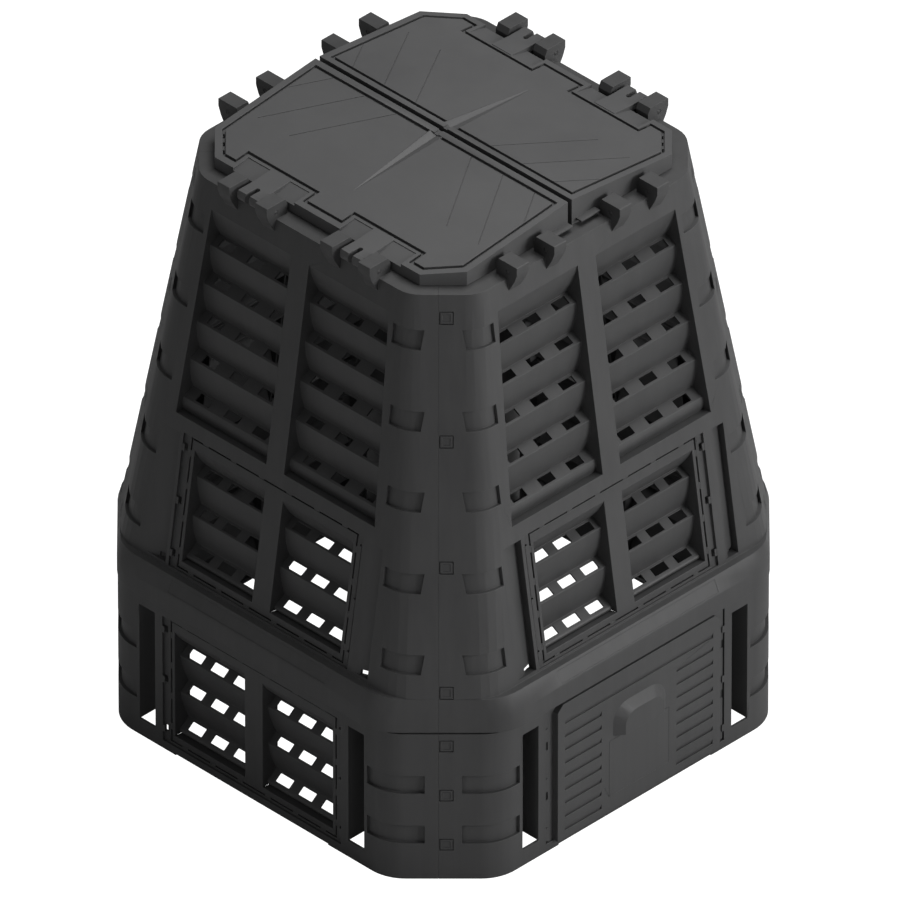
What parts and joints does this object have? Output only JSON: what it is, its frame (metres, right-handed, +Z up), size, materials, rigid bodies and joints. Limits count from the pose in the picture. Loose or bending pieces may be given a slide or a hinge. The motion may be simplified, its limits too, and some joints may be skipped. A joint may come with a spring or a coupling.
{
  "type": "garden compost bin with lid",
  "caption": "Square plastic garden compost bin: straight base ring with a hatch door, tapered louvred body, and a lid in hinged leaves.",
  "frame": {"origin": "on the ground at the centre of the bin's footprint", "axes": "+Z up, +X out of the front wall with the hatch door, +Y to the right as one faces the front wall from outside; the lid's split runs along X"},
  "size_m": [0.932, 0.922, 1.1305],
  "materials": {
    "wall_plastic": "fine-grained matte moulding",
    "vent_plastic": "fine-grained matte moulding",
    "door_plastic": "fine-grained matte moulding",
    "lid_plastic": "fine-grained matte moulding",
    "clip_plastic": "satin moulding"
  },
  "bodies": {
    "bin": {"base_wall_front": "wall_plastic", "base_wall_right": "wall_plastic", "base_wall_back": "wall_plastic", "base_wall_left": "wall_plastic", "upper_wall_front": "wall_plastic", "upper_wall_right": "wall_plastic", "upper_wall_back": "wall_plastic", "upper_wall_left": "wall_plastic", "base_vent_right": "vent_plastic", "base_vent_back": "vent_plastic", "base_vent_left": "vent_plastic", "upper_vent_front": "vent_plastic", "upper_vent_right": "vent_plastic", "upper_vent_back": "vent_plastic", "upper_vent_left": "vent_plastic", "base_clips_front_right": "clip_plastic", "base_clips_back_right": "clip_plastic", "base_clips_back_left": "clip_plastic", "base_clips_front_left": "clip_plastic", "upper_clips_front_right": "clip_plastic", "upper_clips_back_right": "clip_plastic", "upper_clips_back_left": "clip_plastic", "upper_clips_front_left": "clip_plastic"},
    "door": {"hatch_door": "door_plastic"},
    "leaf_left": {"lid_leaf_left": "lid_plastic"},
    "leaf_right": {"lid_leaf_right": "lid_plastic"}
  },
  "joints": [
    {"name": "door_lift", "type": "slide", "parent": "bin", "child": "door", "axis": [0, 0, 1], "range_m": [0, 0.03]},
    {"name": "leaf_left_hinge", "type": "hinge", "parent": "bin", "child": "leaf_left", "pos_m": [0, -0.325, 1.092], "axis": [1, 0, 0], "range_deg": [0, 110]},
    {"name": "leaf_right_hinge", "type": "hinge", "parent": "bin", "child": "leaf_right", "pos_m": [0, 0.325, 1.092], "axis": [-1, 0, 0], "range_deg": [0, 110]}
  ]
}
